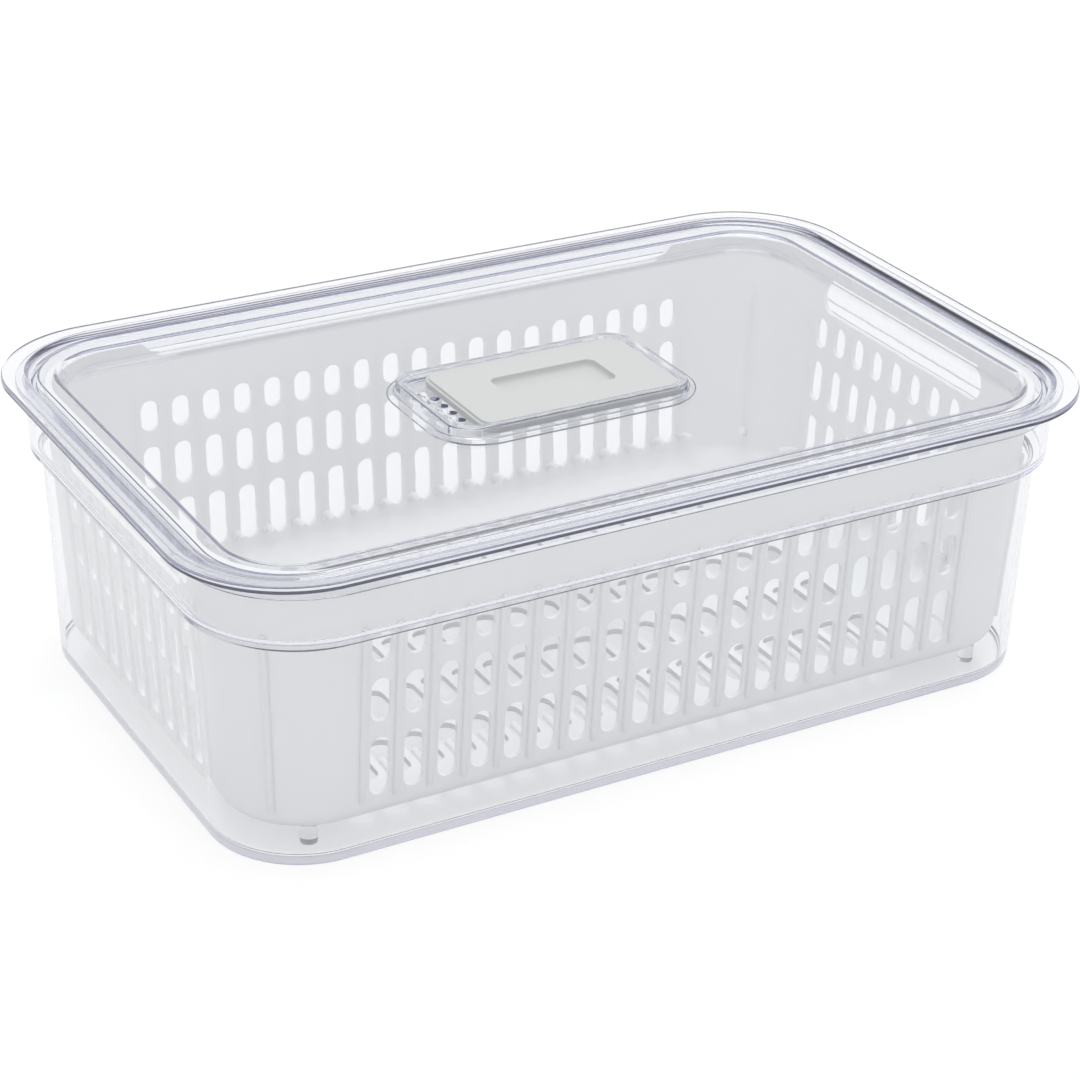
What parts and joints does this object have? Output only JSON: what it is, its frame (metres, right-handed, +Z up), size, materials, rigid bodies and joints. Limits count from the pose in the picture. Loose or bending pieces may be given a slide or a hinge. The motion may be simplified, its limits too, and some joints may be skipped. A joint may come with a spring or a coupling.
{
  "type": "fridge organizer bin",
  "caption": "Clear rounded produce bin with a lift-out slotted white strainer basket and a clear recessed lid that has a sliding vent.",
  "frame": {"origin": "centre of the bin's base, on the plane it stands on", "axes": "+X along the length, away from the vent holes; +Y along the width; +Z up"},
  "size_m": [0.32, 0.208, 0.102],
  "materials": {
    "clear_plastic": "clear gloss",
    "white_plastic": "satin"
  },
  "bodies": {
    "bin": {"bin": "clear_plastic"},
    "basket": {"basket": "white_plastic"},
    "lid": {"lid": "clear_plastic", "vent_frame": "clear_plastic"},
    "vent_slider": {"vent_slider": "white_plastic"}
  },
  "joints": [
    {"name": "basket_lift", "type": "slide", "parent": "bin", "child": "basket", "axis": [0, 0, 1], "range_m": [0, 0.11]},
    {"name": "lid_lift", "type": "slide", "parent": "basket", "child": "lid", "axis": [0, 0, 1], "range_m": [0, 0.12]},
    {"name": "vent_slide", "type": "slide", "parent": "lid", "child": "vent_slider", "axis": [-1, 0, 0], "range_m": [0, 0.0084]}
  ]
}
